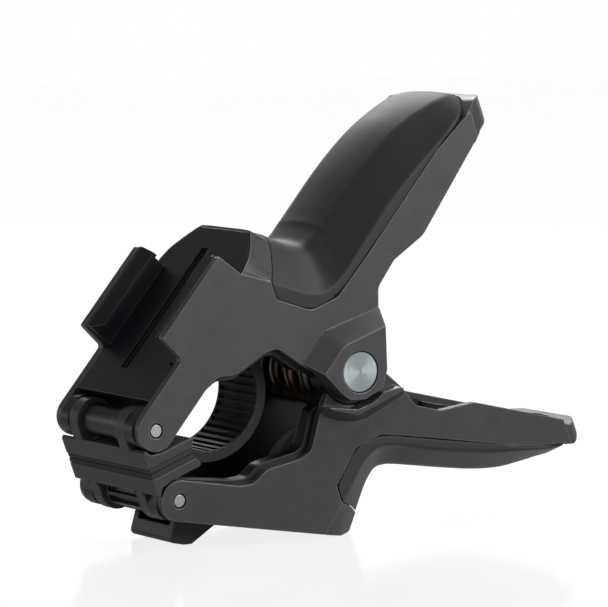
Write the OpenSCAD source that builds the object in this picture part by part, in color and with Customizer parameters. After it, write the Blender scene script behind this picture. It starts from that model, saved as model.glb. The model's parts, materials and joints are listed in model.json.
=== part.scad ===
// Spring-loaded squeeze clamp with pivoting jaw shoes, a curved ribbed finger
// and a slide-in accessory rail. All sizes are millimetres.
//
// Design frame used by the modules: X runs along the closing plane of the jaws
// (jaws at -X, handles at +X), Z is square to it, Y is the hinge direction and
// the hinge axis is the origin. place() turns that frame into the resting pose,
// with the ground at Z = 0. The near side is -Y. Both arms are drawn as upper
// arms; lower() mirrors a piece into the lower arm.

/* [Body] */
// Overall width of the clamp across its side covers
clamp_w = 38; // [37:0.5:40]
// Thickness of the side covers
cover_t = 2; // [1.8:0.1:2.1]
// Gap between a side cover and the frame behind it
seam_gap = 0.2; // [0.1:0.05:0.3]
// Wall thickness of the inner frames
frame_t = 4.0; // [3.6:0.1:4.1]
// How far the hinge bosses stand out from the side covers
boss_h = 4.2; // [3.4:0.1:4.6]

/* [Accessory rail] */
// Height of the rail over the deck
rail_h = 7.5; // [6.5:0.1:8]
// Length of the rail along the deck
rail_len = 24; // [20:0.5:26]
// Clear opening between the two rail lips
rail_gap = 25.4; // [23:0.2:27]
// Width of the guide groove in the deck
groove_w = 3.2; // [2:0.1:4]

/* [Jaws] */
// Thickness of the rubber pads
pad_t = 1.3; // [1:0.1:1.6]
// Radius of the jaw pins
jaw_pin_r = 1.5; // [1.2:0.05:1.7]
// Inner radius of the curved finger
finger_r = 13.6; // [13:0.1:14]
// Thickness of the curved finger behind its ribs
finger_t = 1.6; // [1.2:0.1:2]
// Angle between neighbouring ribs of the finger
rib_step = 8.5; // [7:0.5:12]

/* [Hinge] */
// Radius of the hinge shaft
shaft_r = 3; // [2.4:0.1:3.4]
// Radius of the turned hinge heads
head_r = 4.75; // [4.2:0.05:5]
// Wire diameter of the torsion spring
wire_d = 3; // [2:0.1:3.2]
// Mean radius of the torsion spring
spring_r = 7.4; // [7:0.1:7.5]
// Number of turns of the torsion spring
spring_turns = 4; // [3:1:4]

/* [Stance] */
// Tilt of the closing plane when the clamp rests on its foot and heel
stance = 20.8; // [20:0.1:21.5]
// Height of the hinge axis over the ground
axis_h = 40; // [39.8:0.05:40.1]

/* [Hidden] */
$fn = 64;

// distances from the middle plane
half_w = clamp_w/2;            // outer face of a cover
cover_y = half_w - cover_t;    // inner face of a cover
wall_y = cover_y - seam_gap;   // outer face of a frame wall
wall_in_y = wall_y - frame_t;  // inner face of a frame wall
boss_y = half_w + boss_h;      // face of a hinge boss
upper_ear_y = 14.95;           // outer face of the upper hinge ears
lower_ear_y = 15.2;            // inner face of the lower hinge ears

hinge_ear_r = 8;               // radius of the hinge ears
ear_room_r = 8.4;              // recess in which a hinge ear turns
bushing_r = 4.2;               // outer radius of the hinge bushings
jaw_pin_at = [-54.8, 9];       // jaw pin centre
jaw_ear_r = 4.85;              // radius of the jaw ears
sleeve_y = 8.4;                // half length of the jaw pin sleeves
slope = 29.6;                  // angle of the deck to the closing plane
deck_t = 2.6;                  // deck thickness
deck_floor = -deck_t - 0.05;   // clearance height under the deck
running_gap = 0.05;            // clearance of turning parts
seated_gap = 0.02;             // clearance of seated parts
x_shift = -7.53;               // centres the resting clamp over its origin
along_deck = [cos(slope), sin(slope)];
off_deck = [-sin(slope), cos(slope)];
screws_at = [[-36.5, 19], [-23, 26.5], [29.2, 26]];

// ---------------------------------------------------------------- functions
function unit(v) = v/norm(v);
function mid(a, b, t) = a + (b - a)*t;
function reversed(list) = [for (i = [len(list)-1:-1:0]) list[i]];
// outline of [x, y] points closed by its mirror image in y
function y_symmetric(edge) = concat(edge, [for (p = reversed(edge)) [p[0], -p[1]]]);

// [x, z] of a point by its distance along the deck and height over it
function on_deck(along, height) =
  jaw_pin_at + jaw_ear_r*off_deck + along*along_deck + height*off_deck;
// the same for [along, height] rows, and for [along, height, radius] rows
function deck_points(rows) = [for (q = rows) on_deck(q[0], q[1])];
function deck_corners(rows) = [for (q = rows) concat(on_deck(q[0], q[1]), q[2])];

// steps+1 points of the corner at b between a and c, rounded to the radius,
// which shrinks where the sides are too short for it
function corner(a, b, c, radius, steps) =
  let (to_a = unit(a - b), to_c = unit(c - b),
       half = acos(max(-0.9999, min(0.9999, to_a*to_c)))/2,
       trim = min(radius/tan(half), 0.49*norm(a - b), 0.49*norm(c - b)),
       fitted = trim*tan(half),
       centre = b + unit(to_a + to_c)*(fitted/sin(half)),
       from = b + to_a*trim - centre,
       to = b + to_c*trim - centre,
       start = atan2(from[1], from[0]),
       turn = atan2(to[1], to[0]) - start,
       sweep = turn > 180 ? turn - 360 : turn < -180 ? turn + 360 : turn)
  [for (i = [0:steps])
    let (angle = start + sweep*i/steps) centre + fitted*[cos(angle), sin(angle)]];

// closed outline from [x, z, corner radius] rows
function rounded(rows) = let (count = len(rows)) [for (i = [0:count-1])
  let (a = rows[(i + count - 1) % count], b = rows[i], c = rows[(i + 1) % count])
  each (b[2] <= 0 ? [[b[0], b[1]]] :
    corner([a[0], a[1]], [b[0], b[1]], [c[0], c[1]], b[2], b[2] > 3 ? 7 : 3))];

// smooth (Catmull-Rom) value of a table's column at x; column 0 holds x
function table_at(table, x, column) =
  let (count = len(table),
       i = max([0, for (j = [0:count-2]) table[j][0] <= x ? j : 0]),
       p1 = table[i], p2 = table[i+1],
       p0 = table[max(0, i-1)], p3 = table[min(count-1, i+2)],
       k = column, span = p2[0] - p1[0],
       t = max(0, min(1, (x - p1[0])/span)),
       rise = (p2[k] - p1[k])/span,
       m1 = i == 0 ? rise : (p2[k] - p0[k])/(p2[0] - p0[0]),
       m2 = i == count-2 ? rise : (p3[k] - p1[k])/(p3[0] - p1[0]))
  (2*t*t*t - 3*t*t + 1)*p1[k] + (t*t*t - 2*t*t + t)*span*m1
  + (-2*t*t*t + 3*t*t)*p2[k] + (t*t*t - t*t)*span*m2;

// faces of a polyhedron made of rings of `size` points each
function side_faces(rings, size) = [for (i = [0:rings-2], j = [0:size-1])
  let (a = i*size + j, b = i*size + (j+1)%size)
  each [[a, b, a + size], [b, b + size, a + size]]];
function loft_faces(rings, size) = concat(
  [[for (j = [0:size-1]) size - 1 - j], [for (j = [0:size-1]) (rings - 1)*size + j]],
  side_faces(rings, size));
// triangles turned over, with their point numbers shifted
function flipped(faces, shift = 0) = [for (f = faces) [f[0], f[2], f[1]] + shift*[1, 1, 1]];

// ---------------------------------------------------------------- placement
// a flat X-Z outline extruded from y0 to y1, and one centred on the middle plane
module slab(y0, y1) translate([0, y1, 0]) rotate([90, 0, 0])
  linear_extrude(height = y1 - y0) children();
module mid_slab(reach) slab(-reach, reach) children();
module rod(radius, y0, y1, at = [0, 0]) translate([at[0], y1, at[1]]) rotate([90, 0, 0])
  cylinder(r = radius, h = y1 - y0);
module near_side() mirror([0, 1, 0]) children();
module both_sides() {
  children();
  near_side() children();
}
module place() translate([x_shift, 0, axis_h]) rotate([0, -stance, 0]) children();
// mirrors an upper-arm piece into the lower arm, trimmed by the ground
module lower() intersection() {
  place() mirror([0, 0, 1]) children();
  translate([-90, -60, 0]) cube([180, 120, 90]);
}
// frame with X along the deck and Z square to it
module deck_frame() translate([on_deck(0, 0)[0], 0, on_deck(0, 0)[1]])
  rotate([0, -slope, 0]) children();

// ---------------------------------------------------------------- outlines
// All rows are [x, z, corner radius] unless a comment says otherwise.
jaw_ear_ends = [for (side = [-1, 1])
  concat(jaw_pin_at - jaw_ear_r*along_deck + side*jaw_ear_r*off_deck, jaw_ear_r - 0.01)];
// lower boundary of a cover, from the hinge to the jaw
jaw_edge = [[-8.6, 2.9, 0], [-11.9, 6.2, 4], [-17.2, 13.4, 3], [-20.6, 13.9, 3],
  [-30.4, 12.3, 6], [-34.8, 13.9, 3], [-38.2, 12.9, 3]];
// edge under the grip, from the deck to the handle tip
function grip_seam(upper) = [[-13.56, 28.95, 0], [-13.56, 24.35, 1.2],
  [-5.3, 18, 3.2], [2.6, 18, 4], [14.1, 24.1, 6], [41.5, upper ? 39.8 : 39.1, 9],
  [50.5, upper ? 43.5 : 42.5, 5], [54.2, upper ? 44.8 : 43.8, 0]];
// lower boundary of a handle, from its tip to the hinge
function handle_edge(upper) = [[53.8, upper ? 38.2 : 37.4, 0], [30.6, 22.2, 5],
  [20.7, 19.9, 3], [14.2, 15.6, 3], [12.4, 10.6, 1.5]];
// [along, height, radius] of a cover beside the rail
rail_side = [[17, 0, 1], [17.6, rail_h, 0.5], [17.6 + rail_len, rail_h, 0.6],
  [18.1 + rail_len, 0, 0.8]];

// outer edge of a cover: with the rail step on the upper arm, plain on the lower
module cover_outline(upper) polygon(rounded(concat(
  jaw_edge, jaw_ear_ends,
  deck_corners(upper ? rail_side : [[42, 0, 1]]),
  grip_seam(upper), handle_edge(upper),
  [upper ? [12.8, 5.9, 0.8] : [10.9, 7.9, 0.8], [upper ? 7.4 : 8.4, 3.6, 0],
    [5, 0, 0], [-5, 0, 0]])));

// side wall of a frame: sits under the deck and inside the cover
module wall_outline(upper) polygon(rounded(concat(
  [[-8.4, 4.2, 0], [-13, 5.2, 3], [-18, 12, 2.5], [-20.6, 12.5, 3], [-30.4, 10.9, 6],
    [-34.8, 12.5, 3], [-38.4, 11.5, 3]],
  jaw_ear_ends,
  deck_corners([[2.4, 0, 1], [4.6, -1.2, 0], [4.9, deck_floor, 0.6], [40.6, deck_floor, 1]]),
  [[-17.4, 27, 1], [-15.4, 22.6, 2], [-5.6, 18.1, 3], [3, 18.1, 4], [14.4, 24.2, 6],
    [41.8, 38.6, 9], [51, 42, 3], [52.6, 39.4, 1], [31, 23.6, 5], [20.6, 21.4, 3],
    [13.4, 16.6, 3], [11.6, 10.8, 2], upper ? [11.3, 5.1, 0.8] : [10, 7.2, 0.8],
    [upper ? 7.3 : 8, 3.5, 0], [0, -2, 0]])));

// ---------------------------------------------------------------- frames
// straight stretches of a handle wall, below and above
function handle_low(x) = 23.6 + 0.69*max(0, x - 31);
function handle_top(x) = 22.6 + 0.569*(x - 14.4);

// zigzag webs between the two walls of the handle
module handle_webs() {
  first_x = 23;
  pitch = 7;
  rake = 5;
  thick = 1.7;
  for (k = [0:3]) {
    low_x = first_x + pitch*k + (k % 2 == 0 ? 0 : rake);
    top_x = first_x + pitch*k + (k % 2 == 0 ? rake : 0);
    mid_slab(wall_in_y + 0.1) polygon([
      [low_x, handle_low(low_x) + 0.9], [low_x + thick, handle_low(low_x + thick) + 0.9],
      [top_x + thick, handle_top(top_x + thick) - 1], [top_x, handle_top(top_x) - 1]]);
  }
}

module arm_frame(upper) difference() {
  union() {
    difference() {
      both_sides() slab(wall_in_y, wall_y) wall_outline(upper);
      // the other arm's ear turns here
      both_sides() slab(upper ? upper_ear_y + 0.05 : wall_in_y - 1,
        upper ? wall_y + 1 : lower_ear_y - 0.1) circle(r = ear_room_r);
    }
    // hinge ears: inside on the upper arm, outside on the lower arm
    if (upper) both_sides() slab(wall_in_y, upper_ear_y) union() {
      circle(r = hinge_ear_r);
      polygon([[-7.9, 1], [-12.4, 7.4], [-4, 14], [10, 14], [11.2, 5.1], [7.3, 3.5]]);
    }
    else both_sides() slab(lower_ear_y, half_w - 0.1) circle(r = hinge_ear_r);
    // cross webs that tie the two walls together at the ends of the deck
    mid_slab(wall_in_y + 0.1) polygon(concat(
      deck_points([[6.2, deck_floor], [8.4, deck_floor]]), [[-46.6, 9.4], [-48.6, 9.2]]));
    mid_slab(wall_in_y + 0.1)
      polygon([[-17.8, 27], [-16.2, 23], [-14.2, 22], [-15.4, 25.8]]);
    handle_webs();
  }
  rod(jaw_pin_r + seated_gap, -half_w, half_w, jaw_pin_at);
  if (upper) rod(shaft_r + seated_gap, -half_w, half_w);
  else rod(bushing_r + seated_gap, -boss_y, boss_y);
  for (p = screws_at) rod(1.1, -half_w, half_w, p);
}
module upper_frame() color("#1d1c22") place() arm_frame(true);
module lower_frame() color("#1d1c22") lower() arm_frame(false);

// ---------------------------------------------------------------- grips
// Arch over the handle; its sides run down to the seam.
// station x, seam z, crease z, soft edge z, soft edge y, half width as a share
// of half_w, crown; then how much lower seam, crease and soft edge of the lower
// arm's grip sit
grip_rows = [
  [-13.4, 25.2, 28.9, 35.7, 11.8, 1, 0.4, 0, 0, 0],
  [-12.6, 24.0, 28.1, 35.2, 11.6, 1, 0.4, 0, 0, 0.1],
  [-9, 21.05, 25.5, 33.35, 10.5, 1, 0.4, 0, 0, 0.5],
  [-5, 18.45, 22.5, 31.4, 10, 1, 0.4, 0, 0, 0.8],
  [0, 18.25, 20.7, 30.2, 9.5, 1, 0.5, 0, 0, 1.2],
  [5, 19.7, 21.9, 31, 9.8, 1, 0.6, 0, 0, 1.7],
  [10, 22.3, 24.7, 32.6, 10, 1, 0.7, 0, 0, 2],
  [15, 25.0, 27.8, 35.3, 10, 1, 0.7, 0, 0, 2.1],
  [23, 29.4, 32.5, 39.8, 10, 1, 0.7, 0, 0.5, 2.3],
  [31, 34, 36.6, 43.7, 10, 1, 0.7, 0.3, 0.7, 2.1],
  [38, 38, 39.6, 46.4, 9.9, 1, 0.7, 0.5, 0.9, 2.1],
  [44, 41.2, 42.2, 47.8, 9.9, 1, 0.7, 0.8, 1, 2.3],
  [48, 42.9, 43.8, 48.4, 10.1, 0.99, 0.6, 0.9, 1.1, 2.3],
  [52, 44.4, 45.2, 48.7, 10.2, 0.91, 0.5, 1, 1.1, 1.9],
  [55.5, 45.4, 46, 48.4, 8.9, 0.74, 0.4, 0.9, 1, 1.4],
  [58, 46, 46.3, 47.4, 6.2, 0.53, 0.3, 0.9, 0.9, 1],
  [59.6, 45.6, 45.9, 46.6, 3.2, 0.27, 0.2, 0.8, 0.8, 0.8]];
// x of the cross sections the grip is lofted through
grip_stations = concat([-13.4, -13.1, -12.6, -11, -9, -7, -5.5, -4], [for (s = [-2:2:14]) s],
  [for (s = [17:3.5:41.5]) s], [44, 46.5, 49, 51, 53, 55, 56.5, 58, 59, 59.6]);
grip_t = 2.1;                  // wall thickness of the grip
grip_start = -13.4;            // x of the grip's front edge at the covers
lean_end = 10;                 // x where the sections stand upright again

// first seven columns for one arm, widths in millimetres
function grip_table(upper) = let (low = upper ? 0 : 1) [for (q = grip_rows)
  [q[0], q[1] - low*q[7], q[2] - low*q[8], q[3] - low*q[9], q[4], q[5]*half_w, q[6]]];
// half section, from the seam at the outside up to the crest
function half_arch(width, seam_z, crease_z, edge_z, edge_y, top_z) =
  let (seam = [width, seam_z], crease = [width, crease_z],
       edge = [edge_y, edge_z], top = [0, top_z],
       side_bend = corner(seam, crease, edge, 1.6, 2),
       top_bend = corner(crease, edge, top, 6, 3))
  concat([seam], side_bend,
    [for (t = [0.25, 0.5, 0.75]) mid(side_bend[2], top_bend[0], t)],
    top_bend, [mid(top_bend[3], top, 0.5), top]);
// whole section as [y, z] points, moved inwards by the inset
function section(upper, x, inset) =
  let (table = grip_table(upper),
       width = table_at(table, x, 5) - inset*0.95,
       seam_z = table_at(table, x, 1),
       crease_z = max(table_at(table, x, 2) - inset*0.5, seam_z + 0.4),
       edge_z = max(table_at(table, x, 3) - inset, crease_z + 0.3),
       edge_y = min(table_at(table, x, 4) - inset*0.35, width - 1),
       half = half_arch(width, seam_z, crease_z, edge_z, edge_y,
         edge_z + table_at(table, x, 6)))
  concat(half, [for (i = [len(half)-2:-1:0]) [-half[i][0], half[i][1]]]);

// how far the grip's front edge is set back towards the handle at y
function grip_front(y) = 9.9*(1 - pow(abs(y)/half_w, 2.4));
function lean(x, y) = x < lean_end ?
  grip_front(y)*(lean_end - x)/(lean_end - grip_start) : 0;
// height of the grip's front edge at y
function grip_brow(y) =
  let (first = grip_rows[0], crease_z = first[2], edge_z = first[3], edge_y = first[4])
  y > edge_y ? crease_z + (half_w - y)*6.8/7.2 : edge_z + first[6]*(1 - y/edge_y);

module grip_shell(upper) {
  rings = [for (s = grip_stations)
    [for (p = concat(section(upper, s, 0), reversed(section(upper, s, grip_t))))
      [s + lean(s, p[0]), p[0], p[1]]]];
  size = len(rings[0]);
  count = len(rings);
  front_cap = [for (j = [0:size/2-2])
    each [[j, j+1, size-1-j], [j+1, size-2-j, size-1-j]]];
  polyhedron(points = [for (r = rings) each r],
    faces = concat(flipped(side_faces(count, size)), front_cap,
      flipped(front_cap, (count - 1)*size)),
    convexity = 6);
}
module upper_grip() color("#37333a") place() grip_shell(true);
module lower_grip() color("#2f2c31") lower() grip_shell(false);

// ---------------------------------------------------------------- decks
// where the shoulder is ruled between the end of the deck and the grip:
// [distance along the deck, y there, y at the front edge of the grip]
shoulder_rows = [
  [42.25, half_w - 0.06, half_w - 0.1], [43.6, half_w - 0.2, half_w - 0.7],
  [44.9, half_w - 0.6, half_w - 1.5], [46.2, half_w - 1, half_w - 2.3],
  [47.3, half_w - 1.6, half_w - 3], [48.6, half_w - 2.6, half_w - 3.8],
  [49.9, half_w - 3.7, half_w - 4.6], [51.3, half_w - 4.95, half_w - 5.4],
  [52.65, half_w - 6.3, half_w - 6.1], [53.5, half_w - 7.2, half_w - 6.7],
  [54.3, half_w - 8.3, half_w - 7.6], [54.45, 7.5, 7.8], [54.45, 3.8, 4],
  [54.45, -0.2, -0.2]];

// plan of the deck, grown by a gap: full width to the rail's end, then narrowing
module deck_plan(gap) {
  edge = concat([[4, wall_y], [41.8, wall_y], [42, half_w - 0.6]],
    [for (i = [2:10]) [shoulder_rows[i][0] - 0.3, shoulder_rows[i][1] - 0.35]],
    [[58, half_w - 8.65]]);
  deck_frame() translate([0, 0, -8]) linear_extrude(height = 12)
    polygon(y_symmetric([for (q = edge)
      [q[0] + gap*(q[0] > 43 ? 1 : q[0] > 41 ? -1 : 0), q[1] + gap]]));
}
module deck_plate() intersection() {
  mid_slab(half_w) polygon(deck_points([[4.9, 0], [4.9, -1.4], [5.6, -deck_t],
    [52, -deck_t], [53.8, -2.9], [54.1, -0.4], [53.8, 0]]));
  deck_plan(0);
}
// space taken by the end of the deck, with clearance
module deck_room() intersection() {
  slab(-1, half_w + 1) polygon(deck_points([[38, 4], [38, deck_floor], [51.9, deck_floor],
    [53.9, -3], [54.2, -0.4], [54, 0.2], [54, 4]]));
  deck_plan(0.1);
}
// rail with an inward lip, drawn at +Y; its lip tapers off towards the jaws
module rail() deck_frame() intersection() {
  web_y = wall_y - 1.7;
  translate([17.9, 0, 0]) rotate([90, 0, 90]) linear_extrude(height = rail_len - 0.3)
    polygon([[wall_y, -0.3], [wall_y, rail_h], [rail_gap/2 + 2.8, rail_h],
      [rail_gap/2, rail_h - 2], [rail_gap/2, rail_h - 3.1],
      [web_y, rail_h - 3.1], [web_y, -0.3]]);
  translate([0, 0, -1]) linear_extrude(height = 12)
    polygon([[17, 20], [17, 15.8], [20.6, 12], [50, 12], [50, 20]]);
}
module rail_deck() color("#1d1b22") place() difference() {
  union() {
    deck_plate();
    both_sides() rail();
  }
  // guide groove
  deck_frame() translate([12.3, 1.1, -1]) cube([35.8, groove_w, 3]);
  // moulded dimple beside the near rail
  deck_frame() translate([15.6, -15.6, -0.6]) cylinder(r = 0.7, h = 2);
}
module lower_deck() color("#1d1b22") lower() deck_plate();

// block under the jaws: rest point, with an eye slot for a tether
module tether_foot() color("#232127") lower() difference() {
  mid_slab(9.4) polygon(rounded(deck_corners(
    [[5.6, 0.05, 0], [4.9, 5.9, 1.2], [10.6, 6.1, 1.4], [17.5, 0.05, 0]])));
  mid_slab(7.2) polygon(rounded(deck_corners(
    [[4, -0.3, 0], [4, 1.7, 0], [10.2, 1.7, 0.8], [10.2, -0.3, 0]])));
}

// ---------------------------------------------------------------- covers
// Cover parts are drawn at +Y, the far side.
module cover_plate(upper) difference() {
  slab(cover_y, half_w) cover_outline(upper);
  deck_room();
  slab(cover_y - 1, half_w + 1) circle(r = ear_room_r);
  rod(jaw_pin_r + 0.35, cover_y - 1, half_w + 1, jaw_pin_at);
  for (p = screws_at) rod(0.95, cover_y - 1, cover_y + 1.2, p);
}
// rounded shoulder: a shell ruled from the end of the deck to the grip's front edge
module shoulder() intersection() {
  drop = [-0.5, -1.2, -1.3];
  lines = [for (q = shoulder_rows) let (foot = on_deck(q[0], 0))
    [[foot[0], q[1], foot[1]],
      [grip_start - 0.15 + grip_front(q[2]), q[2], grip_brow(q[2])]]];
  tuck = [0, -0.04, -0.8];
  rings = concat([[lines[0][0] + tuck, lines[0][1] + tuck]], lines);
  polyhedron(points = [for (r = rings) each [r[0], r[1], r[1] + drop, r[0] + drop]],
    faces = loft_faces(len(rings), 4), convexity = 4);
  translate([-40, 0.05, 0]) cube([60, 40, 60]);
}
// room behind the front edge of the grip
module grip_room() translate([0, 0, 10]) linear_extrude(height = 40) polygon(concat(
  [for (p = section(true, grip_start, 0)) if (p[0] > -9)
    [grip_start - 0.14 + grip_front(p[0]), p[0]]],
  [[30, -9], [30, 24]]));

// rounded end of a handle, outside the grip
module handle_tip(upper) intersection() {
  power = upper ? 0.88 : 1;
  angles = [for (i = [-12:12]) 90*i/12];
  translate([0, 0, 30]) linear_extrude(height = 22) difference() {
    polygon([for (a = angles)
      [51 + 13*pow(cos(a), power), half_w*sign(a)*pow(abs(sin(a)), power)]]);
    polygon([for (a = angles) [50.6 + 9.6*cos(a), (wall_in_y + 0.2)*sin(a)]]);
    translate([40, -40]) square([12.6, 80]);
  }
  mid_slab(half_w) polygon(rounded(upper ?
    [[50, 35.4, 0], [56.2, 39.5, 3], [63.4, 40.5, 2],
      [64.1, 42.4, 1.2], [62.8, 45.7, 3.2], [57, 47, 3], [50.5, 43.4, 0]] :
    [[50, 35.8, 0], [56.2, 40.2, 3], [62.2, 41.3, 1.6],
      [63.6, 42.4, 1], [60, 44.4, 3], [56.2, 45.2, 3], [50.5, 42.8, 0]]));
}
// room under the rounded end of the grip
module grip_seat(upper) intersection() {
  table = grip_table(upper);
  stations = [for (s = [47:1:59]) s];
  mid_slab(half_w + 1) polygon(concat(
    [for (s = stations) [s, table_at(table, s, 1) - (s > 55 ? 0.45 : 0.15)]],
    [[60.2, upper ? 45.4 : 44.5], [60.2, 52], [46, 52]]));
  translate([0, 0, 30]) linear_extrude(height = 25) polygon(y_symmetric(concat(
    [for (s = stations) [s, table_at(table, s, 5) + 0.12]], [[60, 0.27*half_w]])));
}
module cover(upper) union() {
  cover_plate(upper);
  difference() {
    shoulder();
    grip_room();
    deck_room();
    // clears the frame wall
    slab(wall_in_y - 0.3, wall_y + 0.1) polygon(concat(
      deck_points([[30, -deck_t], [40.9, -deck_t]]),
      [[-17.2, 27.2], [-15.2, 22.4], [-22, 20]]));
  }
  difference() {
    intersection() {
      handle_tip(upper);
      translate([50, 0.05, 0]) cube([20, 30, 90]);
    }
    grip_seat(upper);
  }
}

// [x, z] stretches shared by the outlines of the boss
boss_top = [[-12, 7], [-5.5, 10.9], [-3.2, 11.9], [12.4, 11], [12.6, 6.2]];
boss_low = [[4.6, -6.2], [-1.2, -6.6], [-5, -5.1], [-6.6, -3]];
// the raised boss around the hinge head on the upper arm
module boss() difference() {
  hull() {
    slab(half_w + 0.3, half_w + 0.5)
      polygon(concat(boss_top, [[10.2, 0.8]], boss_low, [[-9.6, 3.3]]));
    slab(boss_y - 0.3, boss_y) polygon(concat([[-9.6, 3.5], [-2.8, 7.4], [-1.2, 7.7],
      [10.4, 7.5], [9.8, 5.6], [7.9, 1], [7.2, -2.4]], boss_low));
  }
  rod(shaft_r + seated_gap, half_w - 1, boss_y + 1);
  rod(head_r + 0.35, boss_y - 1.9, boss_y + 1);
}
// closes the step between the flat cover and the boss
module boss_root() difference() {
  union() {
    slab(half_w - 0.5, half_w + 0.4)
      polygon(concat(boss_top, [[7.4, 3.6], [0, 0], [-9.6, 3.3]]));
    slab(half_w + 0.2, half_w + 0.4) polygon([[0, 0], [7.4, 3.6], [12.6, 6.2], [10.2, 0.8]]);
  }
  slab(cover_y, half_w + 0.25) circle(r = ear_room_r);
  rod(shaft_r + seated_gap, half_w - 1, boss_y + 1);
}
// the raised lip that follows the boss on the lower arm
module lip() difference() {
  hull() {
    slab(half_w - 0.2, half_w + 0.1) polygon([[-11.8, 6.3], [-11.4, 4.3], [9.9, 8.2],
      [12.2, 11.6], [4.8, 12.3], [-0.3, 12.6], [-4, 11.7], [-7.5, 10], [-9.6, 8.4]]);
    slab(boss_y - 0.4, boss_y) polygon([[-11.2, 4.3], [9.2, 8.1], [9.9, 8.6], [9.2, 9.1],
      [-4.2, 9.3], [-10.6, 5.2]]);
  }
  rod(8.35, half_w - 2, boss_y + 1);
  slab(half_w - 2, boss_y + 1)
    polygon([[-11.6, 4.1], [-3.9, 8.1], [0, 8.35], [3.2, 7.7], [3, 0], [-12, 0]]);
  slab(half_w - 2, half_w + 0.35) polygon([[3, 7.8], [9.6, 8.2], [14, 4], [0, 0]]);
}
module upper_cover() {
  cover(true);
  boss();
  boss_root();
}
module lower_cover() {
  cover(false);
  lip();
}
module upper_cover_far() color("#565457") place() upper_cover();
module upper_cover_near() color("#565457") place() near_side() upper_cover();
module lower_cover_far() color("#47464a") lower() lower_cover();
module lower_cover_near() color("#47464a") lower() near_side() lower_cover();

// slotted screws from inside the frame walls into the covers
module screws() both_sides() for (p = screws_at) {
  head_h = 1.1;
  rod(0.9, wall_in_y, cover_y + 1.1, p);
  difference() {
    rod(1.7, wall_in_y - head_h, wall_in_y, p);
    translate([p[0], wall_in_y - head_h, p[1]]) cube([2.4, 0.8, 0.5], center = true);
  }
}
module upper_cover_screws() color("#8d9094") place() screws();
module lower_cover_screws() color("#8d9094") lower() screws();

// ---------------------------------------------------------------- hinge
module pivot_shaft() color("#b9bdc0") place() difference() {
  rod(shaft_r, -boss_y + 1.95, boss_y - 1.95);
  // bores for the stems of the heads
  both_sides() rod(0.9, boss_y - 5, boss_y - 1);
}
// turned head with a stem, a centre hole and fine rings in its face
module head() difference() {
  union() {
    rod(head_r, boss_y - 1.85, boss_y - 0.35);
    rod(0.85, boss_y - 4.4, boss_y - 1.8);
  }
  rod(0.35, boss_y - 0.6, boss_y);
  for (r = [1.5:1:head_r - 0.6]) difference() {
    rod(r + 0.06, boss_y - 0.38, boss_y);
    rod(r - 0.06, boss_y - 0.5, boss_y + 0.1);
  }
}
module pivot_head_far() color("#a9b9bb") place() head();
module pivot_head_near() color("#a9b9bb") place() near_side() head();
module pivot_bushings() color("#b08d4a") place() difference() {
  both_sides() rod(bushing_r, lower_ear_y, half_w - 0.1);
  rod(shaft_r + running_gap, -boss_y, boss_y);
}
module spring_sleeve() color("#202024") place() difference() {
  rod(5, -wall_in_y + 0.3, wall_in_y - 0.3);
  rod(shaft_r + seated_gap, -wall_in_y, wall_in_y);
}
// two straight legs and a coil between them
module torsion_spring() color("#4d4744") place() {
  half_len = spring_turns*2.7;
  start = 122;                 // angle where the first leg leaves the coil
  sweep = 360*spring_turns - 2*start;
  steps = 18*spring_turns;
  leg = [5, 14, 24];           // distances of the leg points from the coil
  coil = [for (i = [0:steps]) let (f = i/steps, a = start + sweep*f)
    [spring_r*cos(a), -half_len + 2*half_len*f, spring_r*sin(a)]];
  first_dir = [sin(start), 0, -cos(start)];
  last_dir = [-sin(start + sweep), 0, cos(start + sweep)];
  path = concat([for (t = reversed(leg)) coil[0] + t*first_dir], coil,
    [for (t = leg) coil[steps] + t*last_dir]);
  count = len(path);
  sides = 8;
  polyhedron(points = [for (i = [0:count-1])
      let (tangent = unit(path[min(i+1, count-1)] - path[max(i-1, 0)]),
           u = unit(cross(tangent, [0, 1, 0])), v = cross(tangent, u))
      for (j = [0:sides-1])
        path[i] + wire_d/2*(cos(360*j/sides)*u + sin(360*j/sides)*v)],
    faces = loft_faces(count, sides), convexity = 10);
}

// ---------------------------------------------------------------- jaws
shoe_z = pad_t + 0.05;         // face of a shoe behind its pad
finger_at = [-33.3, 7.6];      // centre of the finger's curve

module jaw_pin() rod(jaw_pin_r, -half_w + 0.15, half_w - 0.15, jaw_pin_at);
module jaw_pin_bore() rod(jaw_pin_r + seated_gap, -10, 10, jaw_pin_at);
module upper_jaw_pin() color("#b9c4c6") place() jaw_pin();
module lower_jaw_pin() color("#b9c4c6") lower() jaw_pin();
// plain sleeve with a collar at its near end
module upper_hinge_sleeve() color("#26242b") place() difference() {
  union() {
    rod(3.9, -sleeve_y, sleeve_y, jaw_pin_at);
    rod(4.3, -sleeve_y, -5.2, jaw_pin_at);
  }
  jaw_pin_bore();
}
// ribbed sleeve between two collars
module lower_hinge_sleeve() color("#26242b") lower() difference() {
  union() {
    rod(2.9, -sleeve_y, sleeve_y, jaw_pin_at);
    both_sides() slab(7.2, sleeve_y) translate(jaw_pin_at) circle(r = 4.2);
    for (a = [90:40:330]) translate([jaw_pin_at[0], 0, jaw_pin_at[1]])
      rotate([0, a, 0]) translate([0, -8, -0.45]) cube([4.1, 16, 0.9]);
  }
  jaw_pin_bore();
}

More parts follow.
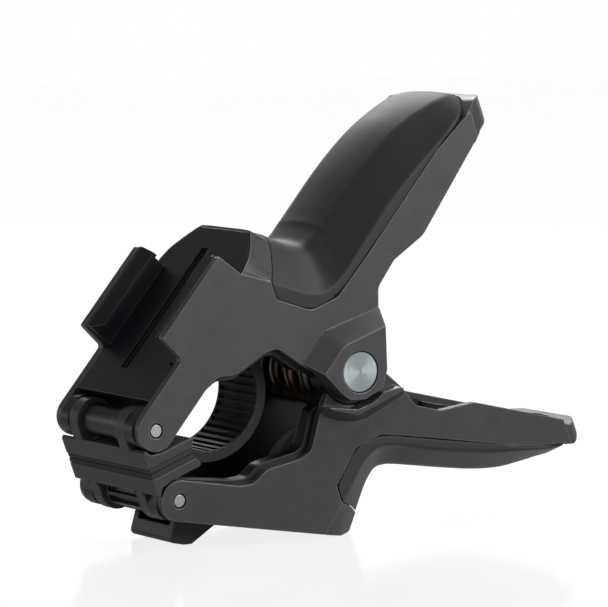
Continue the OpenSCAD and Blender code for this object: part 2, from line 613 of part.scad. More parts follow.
module shoe(front_h) difference() {
  union() {
    // base plate over the full width
    mid_slab(half_w) polygon(rounded([[-60, shoe_z, 0], [-60, 5.3, 0.3], [-59.2, 5.9, 0.3],
      [-58, 4.2, 0], [-55, 3.65, 0], [-46.1, 3.65, 0.5], [-47.2, shoe_z, 0]]));
    mid_slab(12.5) polygon([[-60, shoe_z], [-60, front_h], [-58.6, front_h],
      [-57.6, 4.6], [-50, 4.6], [-48.4, 3.6], [-48.4, shoe_z]]);
    // knuckles
    both_sides() slab(8.8, 12.5) union() {
      translate(jaw_pin_at) circle(r = 5.2);
      polygon([[-60, shoe_z], [-60, 9.2], [-55, 9.2], [-49.6, 8.6], [-48.2, shoe_z]]);
    }
  }
  // hollows round the ears and the sleeve
  both_sides() slab(wall_in_y - 0.2, half_w + 1) translate(jaw_pin_at) circle(r = 5.15);
  mid_slab(8.7) translate(jaw_pin_at) circle(r = 4.45);
  rod(jaw_pin_r + running_gap, -half_w - 1, half_w + 1, jaw_pin_at);
}
module upper_shoe() color("#39373c") place() shoe(5.9);
module lower_shoe() color("#39373c") lower() difference() {
  shoe(3.9);
  // notch for the root of the finger
  mid_slab(9) polygon([[-47.9, 0], [-48.6, 3.1], [-45, 3.4], [-45, 0]]);
}

module pad() mid_slab(half_w) polygon(rounded([[-59.8, 0.05, 0.3], [-59.8, pad_t, 0],
  [-47.3, pad_t, 0], [-47.95, 0.05, 0.2]]));
module upper_pad() color("#2c2a2e") place() pad();

// arc of the finger's curve, from a start angle up to 30 degrees
module finger_arc(inner, outer, start) translate(finger_at) intersection() {
  difference() {
    circle(r = outer);
    circle(r = inner);
  }
  polygon(concat([[0, 0]], [for (a = [start:10:30]) 24*[cos(a), sin(a)]]));
}
// pad of the lower shoe, carrying the curved ribbed finger
module lower_pad() color("#2c2a2e") intersection() {
  place() union() {
    mirror([0, 0, 1]) pad();
    // root between the pad and the finger
    mid_slab(8.6) polygon([[-48.5, -2.9], [-48.12, -1.3], [-48.4, -1.2], [-48.4, -0.1],
      [-47.4, -0.1], [-45.1, 0.6], [-43.8, -1.4], [-45, -2.9]]);
    mid_slab(8.6) finger_arc(finger_r + 0.6, finger_r + finger_t + 0.6, -150);
    for (a = [-146:rib_step:30]) translate([finger_at[0], 0, finger_at[1]])
      rotate([0, -a, 0]) translate([finger_r, -8.3, -0.45]) cube([1, 16.6, 0.9]);
    // rims along both edges of the finger
    both_sides() slab(7.7, 8.6) finger_arc(finger_r + 0.1, finger_r + finger_t + 1, -148);
  }
  translate([-90, -60, 0]) cube([180, 120, 120]);
}

upper_frame();
upper_cover_near();
upper_cover_far();
upper_grip();
rail_deck();
upper_cover_screws();
lower_frame();
lower_cover_near();
lower_cover_far();
lower_grip();
lower_deck();
tether_foot();
lower_cover_screws();
pivot_shaft();
pivot_head_near();
pivot_head_far();
pivot_bushings();
spring_sleeve();
torsion_spring();
upper_jaw_pin();
lower_jaw_pin();
upper_hinge_sleeve();
lower_hinge_sleeve();
upper_shoe();
lower_shoe();
upper_pad();
lower_pad();
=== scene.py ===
"""Looks of a spring clamp: materials, soft grips, torsion spring and studio.

Two arms meet at a hinge whose axis lies along Y. The design frame is in mm with that axis
at its origin: x runs along the clamp, the upper arm is at +z and the lower arm at -z.
The row frame, in metres, holds the clamp leaned by STANCE_DEG about the hinge.
"""

import json
import math

import bpy
import bmesh
import numpy as np
from mathutils import Matrix, Vector


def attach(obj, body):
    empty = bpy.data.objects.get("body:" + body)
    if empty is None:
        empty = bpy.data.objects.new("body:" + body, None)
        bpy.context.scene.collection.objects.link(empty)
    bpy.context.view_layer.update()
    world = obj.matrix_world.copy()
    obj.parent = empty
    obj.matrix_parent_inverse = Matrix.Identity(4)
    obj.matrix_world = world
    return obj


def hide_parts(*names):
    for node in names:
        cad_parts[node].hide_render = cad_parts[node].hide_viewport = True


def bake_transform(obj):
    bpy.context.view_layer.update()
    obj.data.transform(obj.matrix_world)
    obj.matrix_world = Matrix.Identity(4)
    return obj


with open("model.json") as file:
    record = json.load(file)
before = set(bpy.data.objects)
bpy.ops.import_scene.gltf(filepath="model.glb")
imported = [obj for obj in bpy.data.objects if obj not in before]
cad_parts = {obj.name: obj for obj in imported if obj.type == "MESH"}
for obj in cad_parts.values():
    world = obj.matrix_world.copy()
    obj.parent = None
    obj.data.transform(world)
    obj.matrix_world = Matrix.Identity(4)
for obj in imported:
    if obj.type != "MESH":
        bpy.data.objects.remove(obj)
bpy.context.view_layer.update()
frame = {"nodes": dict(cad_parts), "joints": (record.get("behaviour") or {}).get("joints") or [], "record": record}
NODES = frame["nodes"]
SLOTS = {part["node"]: part["material_slot"] for part in frame["record"]["subparts"]}
JOINTS = {joint["name"]: joint for joint in frame["joints"]}

MM = 1000  # millimetres in a metre
PIVOT = Vector(JOINTS["squeeze"]["pos_m"])
STANCE_DEG = 20.8


def to_row(x, y, z):
    """A point of the design frame (mm) in the row frame (m)."""
    cos, sin = math.cos(math.radians(STANCE_DEG)), math.sin(math.radians(STANCE_DEG))
    return Vector((PIVOT.x + (cos * x - sin * z) / MM, y / MM, PIVOT.z + (sin * x + cos * z) / MM))


# ------------------------------------------------------------------ shader building
class Shader:
    """Builds the node tree of one material or world."""

    def __init__(self, owner, output_kind):
        owner.use_nodes = True
        self.owner = owner
        self.tree = owner.node_tree
        self.tree.nodes.clear()
        self.output = self.add(output_kind)

    def add(self, kind, inputs=None, **settings):
        """New node; each input is given as a value or as the socket that feeds it."""
        node = self.tree.nodes.new("ShaderNode" + kind)
        for name, value in settings.items():
            setattr(node, name, value)
        for key, value in (inputs or {}).items():
            if isinstance(value, bpy.types.NodeSocket):
                self.tree.links.new(value, node.inputs[key])
            else:
                node.inputs[key].default_value = value
        return node

    def finish(self, node):
        """Sends the node to the output and returns the material or world."""
        self.tree.links.new(node.outputs[0], self.output.inputs["Surface"])
        return self.owner

    def principled(self, inputs):
        return self.add("BsdfPrincipled", inputs)

    def mix_shader(self, factor, first, second):
        return self.add("MixShader", {0: factor, 1: first.outputs[0], 2: second.outputs[0]})

    def coords(self):
        return self.add("TexCoord").outputs["Object"]

    def noise(self, vector, scale, detail=3.0, rough=0.55, distortion=0.0):
        return self.add("TexNoise", {
            "Scale": scale, "Detail": detail, "Roughness": rough,
            "Distortion": distortion, "Vector": vector}).outputs["Fac"]

    def voronoi(self, vector, scale):
        return self.add("TexVoronoi", {"Scale": scale, "Vector": vector},
                        feature="F1").outputs["Distance"]

    def ramp(self, value, span, to=(0.0, 1.0)):
        """Maps the span of the value linearly to another, clamped."""
        return self.add("MapRange", {
            "From Min": span[0], "From Max": span[1],
            "To Min": to[0], "To Max": to[1], "Value": value}, clamp=True).outputs["Result"]

    def math(self, operation, a, b):
        return self.add("Math", {0: a, 1: b}, operation=operation).outputs[0]

    def blend(self, a, b, share):
        """Weighted sum; a has the given share and b the rest."""
        return self.math("ADD", self.math("MULTIPLY", a, share), self.math("MULTIPLY", b, 1 - share))

    def vector_math(self, operation, a, b=None):
        inputs = {0: a} if b is None else {0: a, 1: b}
        return self.add("VectorMath", inputs, operation=operation)

    def mix_color(self, factor, a, b):
        a, b = ((*c, 1.0) if isinstance(c, tuple) else c for c in (a, b))
        return self.add("Mix", {0: factor, 6: a, 7: b}, data_type="RGBA").outputs[2]

    def bump(self, height, strength, distance, normal=None):
        inputs = {"Strength": strength, "Distance": distance, "Height": height}
        if normal is not None:
            inputs["Normal"] = normal
        return self.add("Bump", inputs).outputs["Normal"]

    def rounded_normal(self, radius):
        """Surface normal with the sharp edges rounded to a radius."""
        return self.add("Bevel", {"Radius": radius}, samples=5).outputs["Normal"]

    def edge_mask(self, rounded):
        """1 near sharp edges, 0 on open faces."""
        geometry = self.add("NewGeometry")
        alignment = self.vector_math("DOT_PRODUCT", rounded, geometry.outputs["Normal"])
        return self.ramp(alignment.outputs["Value"], span=(0.995, 0.90))


def material_shader(name):
    return Shader(bpy.data.materials.new(name), "OutputMaterial")


def srgb(code):
    """Linear colour of a #rrggbb code."""
    channels = [int(code[k:k + 2], 16) / 255 for k in (1, 3, 5)]
    return tuple(c / 12.92 if c <= 0.04045 else ((c + 0.055) / 1.055) ** 2.4 for c in channels)


def tint(color, gain, lift=0.0):
    return tuple(c * gain + lift for c in color)


# ------------------------------------------------------------------ materials
MID = (0.3, 0.7)  # span of a noise that carries most of its variation


def moulded(name, base, rough, edge_highlight, bump_mm=0.012):
    """Injection-moulded plastic: fine grain, faint flow variation, painted highlights along the sharp edges."""
    grain = 2600.0
    variation = 0.16
    s = material_shader(name)
    point = s.coords()
    fine = s.noise(point, scale=grain, detail=2.0, rough=0.6)
    mid = s.noise(point, scale=grain / 9)
    broad = s.noise(point, scale=28.0, rough=0.5)
    cells = s.voronoi(point, scale=grain * 0.8)
    tone = s.ramp(s.blend(broad, mid, share=0.6), span=MID)
    color = s.mix_color(tone, tint(base, 1 - variation), tint(base, 1 + variation))
    rounded = s.rounded_normal(radius=0.4 / MM)
    edge = s.edge_mask(rounded)
    # painted highlight: the sharp edges are lightened, broken up by noise, in place of the lamps' edge highlights
    highlight_breakup = s.ramp(s.noise(point, scale=420.0, detail=4.0, rough=0.7), span=(0.2, 0.5), to=(0.45, 1.0))
    edge = s.math("MULTIPLY", edge, s.math("MULTIPLY", highlight_breakup, edge_highlight))
    color = s.mix_color(edge, color, tint(base, gain=3.0, lift=0.10))
    roughness = s.ramp(s.blend(fine, mid, share=0.5), span=MID, to=(rough - 0.05, rough + 0.06))
    height = s.blend(cells, fine, share=0.55)
    return s.finish(s.principled({
        "Base Color": color,
        "Roughness": roughness,
        "Specular IOR Level": 0.5,
        "Normal": s.bump(height, strength=0.35, distance=bump_mm / MM, normal=rounded)}))


def soft_touch(name, base):
    """Soft-touch paint: very fine matt orange peel, faint handling marks, soft sheen."""
    s = material_shader(name)
    point = s.coords()
    fine = s.noise(point, scale=5200.0, detail=2.0, rough=0.6)
    peel = s.noise(point, scale=900.0, detail=2.0, rough=0.5)
    smear = s.noise(point, scale=60.0, detail=4.0, rough=0.6, distortion=0.6)
    color = s.mix_color(s.ramp(smear, span=MID), tint(base, 0.86), tint(base, 1.16))
    roughness = s.ramp(s.blend(smear, fine, share=0.7), span=MID, to=(0.49, 0.62))
    peel_normal = s.bump(peel, strength=0.12, distance=0.02 / MM)
    return s.finish(s.principled({
        "Base Color": color,
        "Roughness": roughness,
        "Specular IOR Level": 0.42,
        "Sheen Weight": 0.25,
        "Sheen Roughness": 0.45,
        "Normal": s.bump(fine, strength=0.3, distance=0.008 / MM, normal=peel_normal)}))


def rubber(name, base):
    """Moulded rubber: matt, slightly dusty, pebbled skin."""
    s = material_shader(name)
    point = s.coords()
    cells = s.voronoi(point, scale=2600.0)
    dust = s.noise(point, scale=240.0, detail=5.0, rough=0.7)
    rounded = s.rounded_normal(radius=0.3 / MM)
    edge = s.edge_mask(rounded)
    color = s.mix_color(s.ramp(dust, span=(0.35, 0.75)), base, tint(base, gain=1.35, lift=0.004))
    # lighter along the sharp edges
    lighter_edge = s.math("MULTIPLY", edge, 0.55)
    color = s.mix_color(lighter_edge, color, tint(base, gain=2.0, lift=0.02))
    height = s.math("ADD", cells, dust)
    return s.finish(s.principled({
        "Base Color": color,
        "Roughness": s.ramp(dust, span=MID, to=(0.58, 0.74)),
        "Specular IOR Level": 0.4,
        "Normal": s.bump(height, strength=0.4, distance=0.02 / MM, normal=rounded)}))


def turned(name, base, rough, ring_scale):
    """Lathe-turned steel: rings round the hinge axis, with the fan-shaped sheen of a faced end."""
    s = material_shader(name)
    offset = s.vector_math("SUBTRACT", s.coords(), tuple(PIVOT)).outputs[0]
    parts = s.add("SeparateXYZ", {0: offset})
    across = s.add("CombineXYZ", {"X": parts.outputs["X"], "Y": parts.outputs["Z"]})
    radius = s.vector_math("LENGTH", across.outputs[0]).outputs["Value"]
    ring_point = s.add("CombineXYZ", {"X": radius}).outputs[0]
    rings = s.noise(ring_point, scale=ring_scale, detail=4.0, rough=0.75)
    coarse = s.noise(ring_point, scale=ring_scale / 5, detail=2.0, rough=0.6)
    tone = s.blend(rings, coarse, share=0.6)
    color = s.mix_color(s.ramp(tone, span=MID), tint(base, 0.66), tint(base, 1.2))
    roughness = s.ramp(tone, span=MID, to=(rough - 0.06, rough + 0.1))
    # the tangent runs round the axis, for the anisotropic fan
    around = s.vector_math("CROSS_PRODUCT", offset, (0, 1, 0)).outputs[0]
    return s.finish(s.principled({
        "Base Color": color,
        "Metallic": 1.0,
        "Roughness": roughness,
        "Tangent": s.vector_math("NORMALIZE", around).outputs[0],
        "Anisotropic": 0.45,
        "Normal": s.bump(tone, strength=0.25, distance=0.01 / MM)}))


def scaled_metal(name, base, rough=0.3):
    """Metal with a mottled scale and brownish patches."""
    s = material_shader(name)
    point = s.coords()
    scale = s.noise(point, scale=700.0, detail=5.0, rough=0.65)
    patch = s.noise(point, scale=130.0, rough=0.6)
    brown = (base[0] * 2.3, base[1] * 1.55, base[2] * 1.15)
    color = s.mix_color(s.ramp(patch, span=(0.35, 0.7)), base, brown)
    color = s.mix_color(s.ramp(scale, span=(0.5, 0.8)), color, tint(base, 0.45))
    return s.finish(s.principled({
        "Base Color": color,
        "Metallic": 0.9,
        "Roughness": s.ramp(scale, span=MID, to=(rough - 0.08, rough + 0.14)),
        "Normal": s.bump(scale, strength=0.2, distance=0.02 / MM)}))


MATERIALS = {
    # moulded materials: the setting after the roughness is the strength of the painted edge highlight
    "cover_upper": moulded("cover_upper_satin", srgb("#474548"), rough=0.38, edge_highlight=0.9),
    # painted shade: the lower cover is the same grey plastic as the upper one, painted darker
    "cover_lower": moulded("cover_lower_shaded_satin", srgb("#3f3d40"), rough=0.38, edge_highlight=0.9),
    "frame_black": moulded("frame_black_moulded", srgb("#121116"), rough=0.40, edge_highlight=0.35, bump_mm=0.016),
    "deck_black": moulded("deck_black_satin", srgb("#1a1920"), rough=0.34, edge_highlight=0.35, bump_mm=0.008),
    "grip_soft": soft_touch("grip_soft_touch", srgb("#2b2728")),
    "shoe_plastic": moulded("shoe_grey_moulded", srgb("#38363b"), rough=0.45, edge_highlight=0.8, bump_mm=0.02),
    "pad_rubber": rubber("pad_rubber_moulded", srgb("#2a282b")),
    "turned_steel": turned("head_turned_steel", (0.60, 0.68, 0.69), rough=0.3, ring_scale=16000.0),
    "pin_steel": turned("pin_ground_steel", (0.5, 0.54, 0.54), rough=0.32, ring_scale=12000.0),
    "spring_steel": scaled_metal("spring_wire_steel", (0.12, 0.105, 0.1)),
    "screw_steel": scaled_metal("screw_zinc", (0.5, 0.5, 0.5)),
    "bushing_bronze": scaled_metal("bushing_bronze", (0.45, 0.3, 0.13), rough=0.35),
}


# ------------------------------------------------------------------ objects and meshes
def add_object(name, data):
    obj = bpy.data.objects.new(name, data)
    bpy.context.scene.collection.objects.link(obj)
    return obj


def add_modifier(obj, name, kind, **settings):
    modifier = obj.modifiers.new(name, kind)
    for key, value in settings.items():
        setattr(modifier, key, value)


def shade_smooth(mesh):
    mesh.polygons.foreach_set("use_smooth", [True] * len(mesh.polygons))


def smooth_shell(name, points, faces, material, merge=None):
    """Closed smooth mesh object with outward normals; points closer than merge are welded."""
    mesh = bpy.data.meshes.new(name)
    mesh.from_pydata([tuple(p) for p in points], [], faces)
    if merge:
        mesh.validate()
    bm = bmesh.new()
    bm.from_mesh(mesh)
    if merge:
        bmesh.ops.remove_doubles(bm, verts=bm.verts, dist=merge)
    bmesh.ops.recalc_face_normals(bm, faces=bm.faces)
    bm.to_mesh(mesh)
    bm.free()
    shade_smooth(mesh)
    mesh.materials.append(material)
    return add_object(name, mesh)


def ring_bands(ring_count, size):
    """Quads joining consecutive closed rings of the given size."""
    faces = []
    for ring in range(ring_count - 1):
        for k in range(size):
            a, b = ring * size + k, ring * size + (k + 1) % size
            faces.append((a, b, b + size, a + size))
    return faces


# ------------------------------------------------------------------ CAD nodes
# width (mm) of the rounded edges; the other nodes keep sharp edges
EDGE_WIDTHS = {
    "tether_foot": 0.3, "upper_shoe": 0.2, "lower_shoe": 0.2, "upper_pad": 0.2,
    "upper_hinge_sleeve": 0.2, "upper_jaw_pin": 0.15, "lower_jaw_pin": 0.15,
    "pivot_shaft": 0.2, "spring_sleeve": 0.3,
}


def paint(obj, material):
    """Puts the material in every slot, making one if there is none."""
    slots = obj.data.materials
    if len(slots) == 0:
        slots.append(material)
    for i in range(len(slots)):
        slots[i] = material


def round_edges(obj, width):
    add_modifier(obj, "flat", "DECIMATE", decimate_type="DISSOLVE", angle_limit=math.radians(1.0))
    add_modifier(obj, "edge", "BEVEL", width=width / MM, segments=2, limit_method="ANGLE",
                 angle_limit=math.radians(34), use_clamp_overlap=False, miter_outer="MITER_ARC")
    add_modifier(obj, "shade", "WEIGHTED_NORMAL", mode="FACE_AREA_WITH_ANGLE", weight=80)


for node, obj in NODES.items():
    paint(obj, MATERIALS[SLOTS[node]])
    shade_smooth(obj.data)
    add_modifier(obj, "weld", "WELD", merge_threshold=2e-6)
    if node in EDGE_WIDTHS:
        round_edges(obj, EDGE_WIDTHS[node])
    else:
        add_modifier(obj, "sharp", "EDGE_SPLIT", split_angle=math.radians(24))

# ------------------------------------------------------------------ grips (mm)
GRIP_HALF_WIDTH = 19.0
GRIP_WALL = 2.1
GRIP_LIP = 0.3       # rounding of the outer lower edge
CREASE_RADIUS = 1.6
SHOULDER_RADIUS = 7.5
HOLLOW_DEPTH = 9.9   # how far the low-x end is cut in at mid width
HOLLOW_POWER = 2.4
HOLLOW_END = 10      # x where the lean of the sections dies out
GRIP_MERGE = 4e-6    # m

# x, seam z, crease z, soft edge z, soft edge y, share of the half width, crown;
# then how much lower the seam, crease and soft edge are on the lower grip
GRIP_STATIONS = np.array([
    [-13.4, 25.2, 28.9, 35.7, 11.8, 1, 0.4, 0, 0, 0],
    [-12.6, 24.0, 28.1, 35.2, 11.6, 1, 0.4, 0, 0, 0.1],
    [-9, 21.05, 25.5, 33.35, 10.5, 1, 0.4, 0, 0, 0.5],
    [-5, 18.45, 22.5, 31.4, 10, 1, 0.4, 0, 0, 0.8],
    [0, 18.25, 20.7, 30.2, 9.5, 1, 0.5, 0, 0, 1.2],
    [5, 19.7, 21.9, 31, 9.8, 1, 0.6, 0, 0, 1.7],
    [10, 22.3, 24.7, 32.6, 10, 1, 0.7, 0, 0, 2],
    [15, 25.0, 27.8, 35.3, 10, 1, 0.7, 0, 0, 2.1],
    [23, 29.4, 32.5, 39.8, 10, 1, 0.7, 0, 0.5, 2.3],
    [31, 34, 36.6, 43.7, 10, 1, 0.7, 0.3, 0.7, 2.1],
    [38, 38, 39.6, 46.4, 9.9, 1, 0.7, 0.5, 0.9, 2.1],
    [44, 41.2, 42.2, 47.8, 9.9, 1, 0.7, 0.8, 1, 2.3],
    [48, 42.9, 43.8, 48.4, 10.1, 0.99, 0.6, 0.9, 1.1, 2.3],
    [52, 44.4, 45.2, 48.7, 10.2, 0.91, 0.5, 1, 1.1, 1.9],
    [55.5, 45.4, 46, 48.4, 8.9, 0.74, 0.4, 0.9, 1, 1.4],
    [58, 46, 46.3, 47.4, 6.2, 0.53, 0.3, 0.9, 0.9, 1],
    [59.6, 45.6, 45.9, 46.6, 3.2, 0.27, 0.2, 0.8, 0.8, 0.8]])
GRIP_START = GRIP_STATIONS[0, 0]

# x and inset of the mesh sections; the insets round the rims at both ends
GRIP_SECTIONS = (
    [(-13.4, 0.30), (-13.37, 0.12), (-13.27, 0.03), (-13.1, 0)]
    + [(float(x), 0.0) for x in np.concatenate([
        np.arange(-12.8, 16, 0.6), np.arange(16.5, 50, 1.0), np.arange(50.5, 59.2, 0.45)])]
    + [(59.4, 0.04), (59.55, 0.14), (59.6, 0.3)])


def grip_table(upper):
    """Columns x to crown of the stations of one grip, with the half width in mm."""
    table = GRIP_STATIONS[:, :7].copy()
    table[:, 5] *= GRIP_HALF_WIDTH
    if not upper:
        table[:, 1:4] -= GRIP_STATIONS[:, 7:]
    return table


def spline_at(table, x):
    """All columns of the table at x, by a Catmull-Rom curve."""
    last = len(table) - 1
    i = int(np.clip(np.searchsorted(table[:, 0], x, side="right") - 1, 0, last - 1))
    before, start, end, after = (table[k] for k in (max(0, i - 1), i, i + 1, min(last, i + 2)))
    span = end[0] - start[0]
    t = min(1.0, max(0.0, (x - start[0]) / span))
    slope_start = (end - before) / (end[0] - before[0])
    slope_end = (after - start) / (after[0] - start[0])
    return ((2 * t ** 3 - 3 * t * t + 1) * start + (t ** 3 - 2 * t * t + t) * span * slope_start
            + (-2 * t ** 3 + 3 * t * t) * end + (t ** 3 - t * t) * span * slope_end)


def unit(x, y):
    length = math.hypot(x, y)
    return x / length, y / length


def rounded_corner(a, b, c, radius, steps):
    """steps + 1 points of the corner b, between a and c, rounded to the radius."""
    u, v = unit(a[0] - b[0], a[1] - b[1]), unit(c[0] - b[0], c[1] - b[1])
    half = math.acos(max(-0.9999, min(0.9999, u[0] * v[0] + u[1] * v[1]))) / 2
    # the rounding takes at most 0.49 of either side
    setback = min(radius / math.tan(half), 0.49 * math.dist(a, b), 0.49 * math.dist(c, b))
    fitted = setback * math.tan(half)
    w = unit(u[0] + v[0], u[1] + v[1])
    reach = fitted / math.sin(half)
    cx, cy = b[0] + w[0] * reach, b[1] + w[1] * reach
    start, end = (math.atan2(b[1] + d[1] * setback - cy, b[0] + d[0] * setback - cx) for d in (u, v))
    sweep = (end - start + math.pi) % (2 * math.pi) - math.pi
    angles = [start + sweep * i / steps for i in range(steps + 1)]
    return [(cx + fitted * math.cos(angle), cy + fitted * math.sin(angle)) for angle in angles]


def half_section(table, x, inset, lip):
    """Half of a grip section (y, z) from the seam up to the crest; lip rounds the lower edge."""
    _, seam, crease, edge_z, edge_y, width, crown = spline_at(table, x)
    # the inset bites less on the sides and least on the soft edge
    width -= 0.95 * inset
    crease = max(crease - 0.5 * inset, seam + 0.4)
    edge_z = max(edge_z - inset, crease + 0.3)
    edge_y = min(edge_y - 0.35 * inset, width - 1)
    crest = edge_z + crown
    side, shoulder = (width, crease), (edge_y, edge_z)
    low = rounded_corner((width, seam), side, shoulder, CREASE_RADIUS, steps=6)
    high = rounded_corner(side, shoulder, (0, crest), SHOULDER_RADIUS, steps=9)
    foot = [(width - lip, seam),
            (width - 0.3 * lip, seam + 0.08 * lip),
            (width - 0.08 * lip, seam + 0.3 * lip),
            (width, min(seam + max(lip, 0.02), low[0][1] - 0.01))]
    (ay, az), (by, bz) = low[-1], high[0]
    slope = [(ay + (by - ay) * k / 5, az + (bz - az) * k / 5) for k in range(1, 5)]
    y, z = high[-1]
    top = [(y * (1 - k / 7), z + (crest - z) * (1 - (1 - k / 7) ** 2)) for k in range(1, 8)]
    return foot + low + slope + high + top


def mirrored(half):
    """The half section and its mirror image, sharing the crest."""
    return half + [(-y, z) for y, z in half[-2::-1]]


def end_lean(x, y):
    """Shift in x that hollows the low-x end of the grip."""
    if x >= HOLLOW_END:
        return 0.0
    across = min(GRIP_HALF_WIDTH, abs(y)) / GRIP_HALF_WIDTH
    depth = HOLLOW_DEPTH * (1 - across ** HOLLOW_POWER)
    return depth * (HOLLOW_END - x) / (HOLLOW_END - GRIP_START)


def fine_grip(name, upper):
    """Thin arch of the grip with rounded rims, as a closed shell."""
    table = grip_table(upper)
    side = 1 if upper else -1
    points = []
    for x, rim in GRIP_SECTIONS:
        outer = mirrored(half_section(table, x, rim, GRIP_LIP))
        inner = mirrored(half_section(table, x, GRIP_WALL, 0))
        points += [to_row(x + end_lean(x, y), y, side * z) for y, z in outer + inner[::-1]]
    size = 2 * len(outer)
    faces = ring_bands(len(GRIP_SECTIONS), size)
    last = len(points) - size
    for j in range(len(outer) - 1):
        faces.append((j, size - 1 - j, size - 2 - j, j + 1))
        faces.append((last + j, last + j + 1, last + size - 2 - j, last + size - 1 - j))
    grip = smooth_shell(name, points, faces, MATERIALS["grip_soft"], merge=GRIP_MERGE)
    add_modifier(grip, "shade", "WEIGHTED_NORMAL", mode="FACE_AREA", weight=50)
    return grip


for end in ("upper", "lower"):
    node = f"{end}_grip"
    grip = fine_grip(f"fine_{node}", end == "upper")
    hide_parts(node)
    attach(grip, f"{end}_arm")

# ------------------------------------------------------------------ torsion spring (mm)
SPRING_TURNS = 4           # full turns, from which the gap between the legs is taken off
COIL_RADIUS = 7.4
COIL_HALF_LENGTH = 10.8
COIL_STEPS = 56 * SPRING_TURNS
LEG_ANGLE = math.radians(122)  # legs leave the coil at plus and minus this angle
WIRE_RADIUS = 1.5
WIRE_SIDES = 18
WIRE_END_SHARES = (0.78, 0.95)  # of the wire radius, at the two outermost rings
# distances of the rings along a leg, from its tip to the coil
LEG_RINGS = [24, 23.8, 23.2, 20, 17, 14, 11, 8, 5, 3, 1.6, 0.7]


def spring_path():
    """Centre line of the wire, from the tip of the leg at -y to the tip of the one at +y."""
    sweep = 2 * math.pi * SPRING_TURNS - 2 * LEG_ANGLE
    coil = []
    for i in range(COIL_STEPS + 1):
        share = i / COIL_STEPS
        angle = LEG_ANGLE + sweep * share
        coil.append(Vector((COIL_RADIUS * math.cos(angle),
                            -COIL_HALF_LENGTH + 2 * COIL_HALF_LENGTH * share,
                            COIL_RADIUS * math.sin(angle))))
    stop = LEG_ANGLE + sweep
    first_leg = Vector((math.sin(LEG_ANGLE), 0, -math.cos(LEG_ANGLE)))
    last_leg = Vector((-math.sin(stop), 0, math.cos(stop)))
    return ([coil[0] + first_leg * t for t in LEG_RINGS] + coil
            + [coil[-1] + last_leg * t for t in reversed(LEG_RINGS)])


def fine_spring():
    """Round-wire torsion spring: a coil and two straight legs."""
    path = spring_path()
    last = len(path) - 1
    points = []
    for i, centre in enumerate(path):
        tangent = (path[min(i + 1, last)] - path[max(i - 1, 0)]).normalized()
        u = tangent.cross(Vector((0, 1, 0))).normalized()
        v = tangent.cross(u)
        from_end = min(i, last - i)
        share = WIRE_END_SHARES[from_end] if from_end < len(WIRE_END_SHARES) else 1.0
        radius = WIRE_RADIUS * share
        for k in range(WIRE_SIDES):
            angle = 2 * math.pi * k / WIRE_SIDES
            p = centre + u * (radius * math.cos(angle)) + v * (radius * math.sin(angle))
            points.append(to_row(p.x, p.y, p.z))
    caps = [tuple(range(WIRE_SIDES))[::-1], tuple(last * WIRE_SIDES + k for k in range(WIRE_SIDES))]
    faces = caps + ring_bands(len(path), WIRE_SIDES)
    return smooth_shell("fine_spring", points, faces, MATERIALS["spring_steel"])


spring = fine_spring()
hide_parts("torsion_spring")
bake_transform(spring)

# ------------------------------------------------------------------ studio (m)
FLOOR_HALF = 6
FLOOR_Z = -0.0002
CARD_X = (-5, 6)
CARD_Y = 2.6
CARD_Z = (-0.05, 0.7)


def stage_quad(name, corners, material):
    mesh = bpy.data.meshes.new(name)
    mesh.from_pydata(corners, [], [(0, 1, 2, 3)])
    mesh.materials.append(material)
    add_object(name, mesh)


def floor_material():
    """Pale glowing floor with a soft reflection; other than camera rays see a dimmer glow."""
    s = material_shader("floor_pale")
    streaks = s.noise(s.coords(), scale=40.0, rough=0.6)
    matt = s.principled({"Base Color": (0.85, 0.85, 0.85, 1), "Roughness": 0.6})
    glossy = s.add("BsdfAnisotropic", {"Roughness": s.ramp(streaks, span=MID, to=(0.10, 0.13))})
    glow = s.add("Emission", {"Strength": 1.15})
    reflecting = s.mix_shader(0.2, glow, glossy)
    seen = s.mix_shader(0.10, reflecting, matt)
    unseen = s.add("Emission", {"Strength": 0.35})
    rays = s.add("LightPath")
    return s.finish(s.mix_shader(rays.outputs["Is Camera Ray"], unseen, seen))


def card_material():
    """White glow for camera and glossy rays only."""
    s = material_shader("card_white")
    rays = s.add("LightPath").outputs
    strength = s.math("MAXIMUM", rays["Is Camera Ray"], rays["Is Glossy Ray"])
    return s.finish(s.add("Emission", {"Strength": strength}))


def studio_world():
    """White to the camera, a dim warm ambient to everything else."""
    world = bpy.data.worlds.new("studio")
    bpy.context.scene.world = world
    s = Shader(world, "OutputWorld")
    backdrop = s.add("Background", {"Color": (1, 1, 1, 1), "Strength": 1.0})
    ambient = s.add("Background", {"Color": (1.0, 0.99, 0.985, 1), "Strength": 0.16})
    rays = s.add("LightPath")
    s.finish(s.mix_shader(rays.outputs["Is Camera Ray"], ambient, backdrop))


def area_light(name, place, target, size, power, color=(1, 1, 1)):
    """Square area light aimed at the target."""
    light = bpy.data.lights.new(name, "AREA")
    light.energy = power
    light.color = color
    light.size = size
    obj = add_object(name, light)
    obj.location = place
    obj.rotation_mode = "QUATERNION"
    obj.rotation_quaternion = (Vector(target) - Vector(place)).to_track_quat("-Z", "Y")


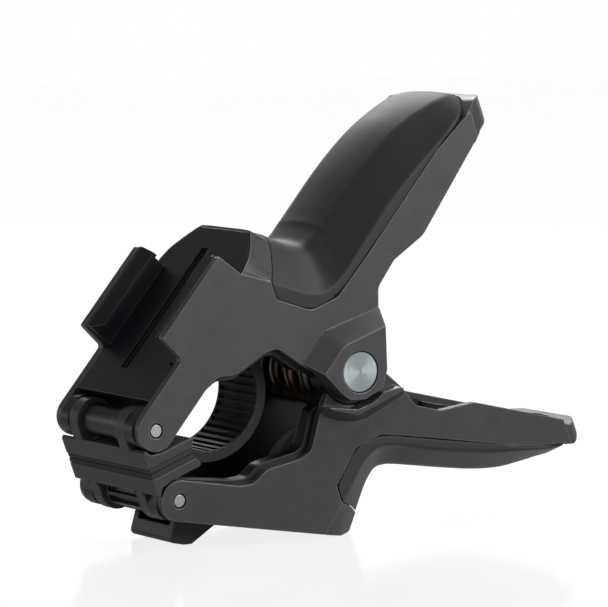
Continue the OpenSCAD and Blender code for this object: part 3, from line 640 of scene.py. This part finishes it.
stage_quad("floor", [(x * FLOOR_HALF, y * FLOOR_HALF, FLOOR_Z)
                     for x, y in ((-1, -1), (1, -1), (1, 1), (-1, 1))], floor_material())
studio_world()
area_light("key", (0.42, -0.72, 0.42), target=(0, 0, 0.05), size=0.5, power=5.2,
           color=(1, 0.985, 0.975))
area_light("top", (0.45, -0.25, 0.85), target=(0, 0, 0.04), size=0.35, power=2.6)
area_light("rim", (0.35, 0.75, 0.55), target=(0, 0, 0.06), size=0.35, power=3.0)
area_light("left", (-0.75, -0.35, 0.12), target=(-0.02, 0, 0.04), size=0.25, power=0.7,
           color=(0.93, 0.96, 1.0))
# low white card beyond the clamp, for the floor to reflect
stage_quad("card", [(CARD_X[0], CARD_Y, CARD_Z[0]), (CARD_X[1], CARD_Y, CARD_Z[0]),
                    (CARD_X[1], CARD_Y, CARD_Z[1]), (CARD_X[0], CARD_Y, CARD_Z[1])],
           card_material())

# ------------------------------------------------------------------ camera
CAMERA_PLACE = Vector((-0.5369, -0.8003, 0.1428))
CAMERA_SWING = math.radians(33.4146)  # from +Y towards +X
CAMERA_DIP = math.radians(5.3719)     # below the horizontal
CAMERA_TURN = math.radians(STANCE_DEG - 20.5857)  # of the view in the XZ plane
LENS_MM = 235.1705921
SENSOR_MM = 36


def turn_view(p):
    cos, sin = math.cos(CAMERA_TURN), math.sin(CAMERA_TURN)
    return Vector((cos * p.x - sin * p.z, p.y, sin * p.x + cos * p.z))


def add_camera():
    right = turn_view(Vector((math.cos(CAMERA_SWING), -math.sin(CAMERA_SWING), 0)))
    ahead = turn_view(Vector((math.sin(CAMERA_SWING) * math.cos(CAMERA_DIP),
                              math.cos(CAMERA_SWING) * math.cos(CAMERA_DIP),
                              -math.sin(CAMERA_DIP))))
    data = bpy.data.cameras.new("camera")
    data.lens = LENS_MM
    data.sensor_width = SENSOR_MM
    data.clip_start = 0.05
    data.clip_end = 30
    camera = add_object("camera", data)
    columns = zip(right, right.cross(ahead), -ahead, CAMERA_PLACE)
    camera.matrix_world = Matrix((*columns, (0, 0, 0, 1)))
    bpy.context.scene.camera = camera


add_camera()
bpy.context.scene.view_settings.view_transform = "Standard"
bpy.context.scene.view_settings.look = "None"
